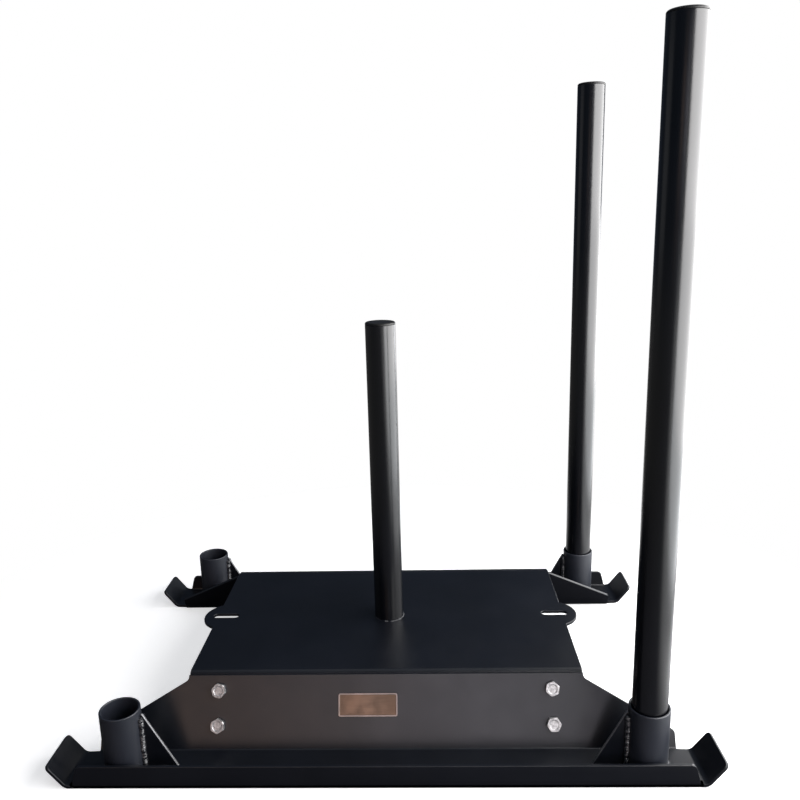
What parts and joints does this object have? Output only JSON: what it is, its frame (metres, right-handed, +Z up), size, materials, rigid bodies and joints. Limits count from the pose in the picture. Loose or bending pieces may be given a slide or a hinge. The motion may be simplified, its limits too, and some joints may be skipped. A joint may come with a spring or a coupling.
{
  "type": "push and drag weight sled",
  "caption": "Steel push sled: bent runners with upturned tips, a bolted deck saddle with a weight post and slotted pulling ears, and two lift-out push posts in sleeves.",
  "frame": {"origin": "on the ground under the middle of the deck, at the middle of the bounding box's bottom face", "axes": "+X along the direction of travel towards the end with the push posts, +Y across the sled, +Z up"},
  "size_m": [0.948, 0.594, 0.99],
  "materials": {
    "black_paint": "satin black powder coat",
    "black_plastic": "matte black",
    "zinc_plate": "bright zinc plate"
  },
  "bodies": {
    "sled": {"runner_left": "black_paint", "runner_right": "black_paint", "deck_saddle": "black_paint", "weight_post": "black_paint", "weight_post_cap": "black_plastic", "sleeve_left_front": "black_paint", "sleeve_left_rear": "black_paint", "sleeve_right_front": "black_paint", "sleeve_right_rear": "black_paint", "gusset_left_front": "black_paint", "gusset_left_rear": "black_paint", "gusset_right_front": "black_paint", "gusset_right_rear": "black_paint", "bolt_left_front_low": "zinc_plate", "bolt_left_front_high": "zinc_plate", "bolt_left_rear_low": "zinc_plate", "bolt_left_rear_high": "zinc_plate", "bolt_right_front_low": "zinc_plate", "bolt_right_front_high": "zinc_plate", "bolt_right_rear_low": "zinc_plate", "bolt_right_rear_high": "zinc_plate", "washer_left_front_low": "zinc_plate", "washer_left_front_high": "zinc_plate", "washer_left_rear_low": "zinc_plate", "washer_left_rear_high": "zinc_plate", "washer_right_front_low": "zinc_plate", "washer_right_front_high": "zinc_plate", "washer_right_rear_low": "zinc_plate", "washer_right_rear_high": "zinc_plate", "nut_left_front_low": "zinc_plate", "nut_left_front_high": "zinc_plate", "nut_left_rear_low": "zinc_plate", "nut_left_rear_high": "zinc_plate", "nut_right_front_low": "zinc_plate", "nut_right_front_high": "zinc_plate", "nut_right_rear_low": "zinc_plate", "nut_right_rear_high": "zinc_plate"},
    "push_post_left": {"push_post_left": "black_paint", "push_post_cap_left": "black_plastic"},
    "push_post_right": {"push_post_right": "black_paint", "push_post_cap_right": "black_plastic"}
  },
  "joints": [
    {"name": "push_post_left_lift", "type": "slide", "parent": "sled", "child": "push_post_left", "axis": [0, 0, 1], "range_m": [0, 0.12]},
    {"name": "push_post_right_lift", "type": "slide", "parent": "sled", "child": "push_post_right", "axis": [0, 0, 1], "range_m": [0, 0.12]}
  ]
}
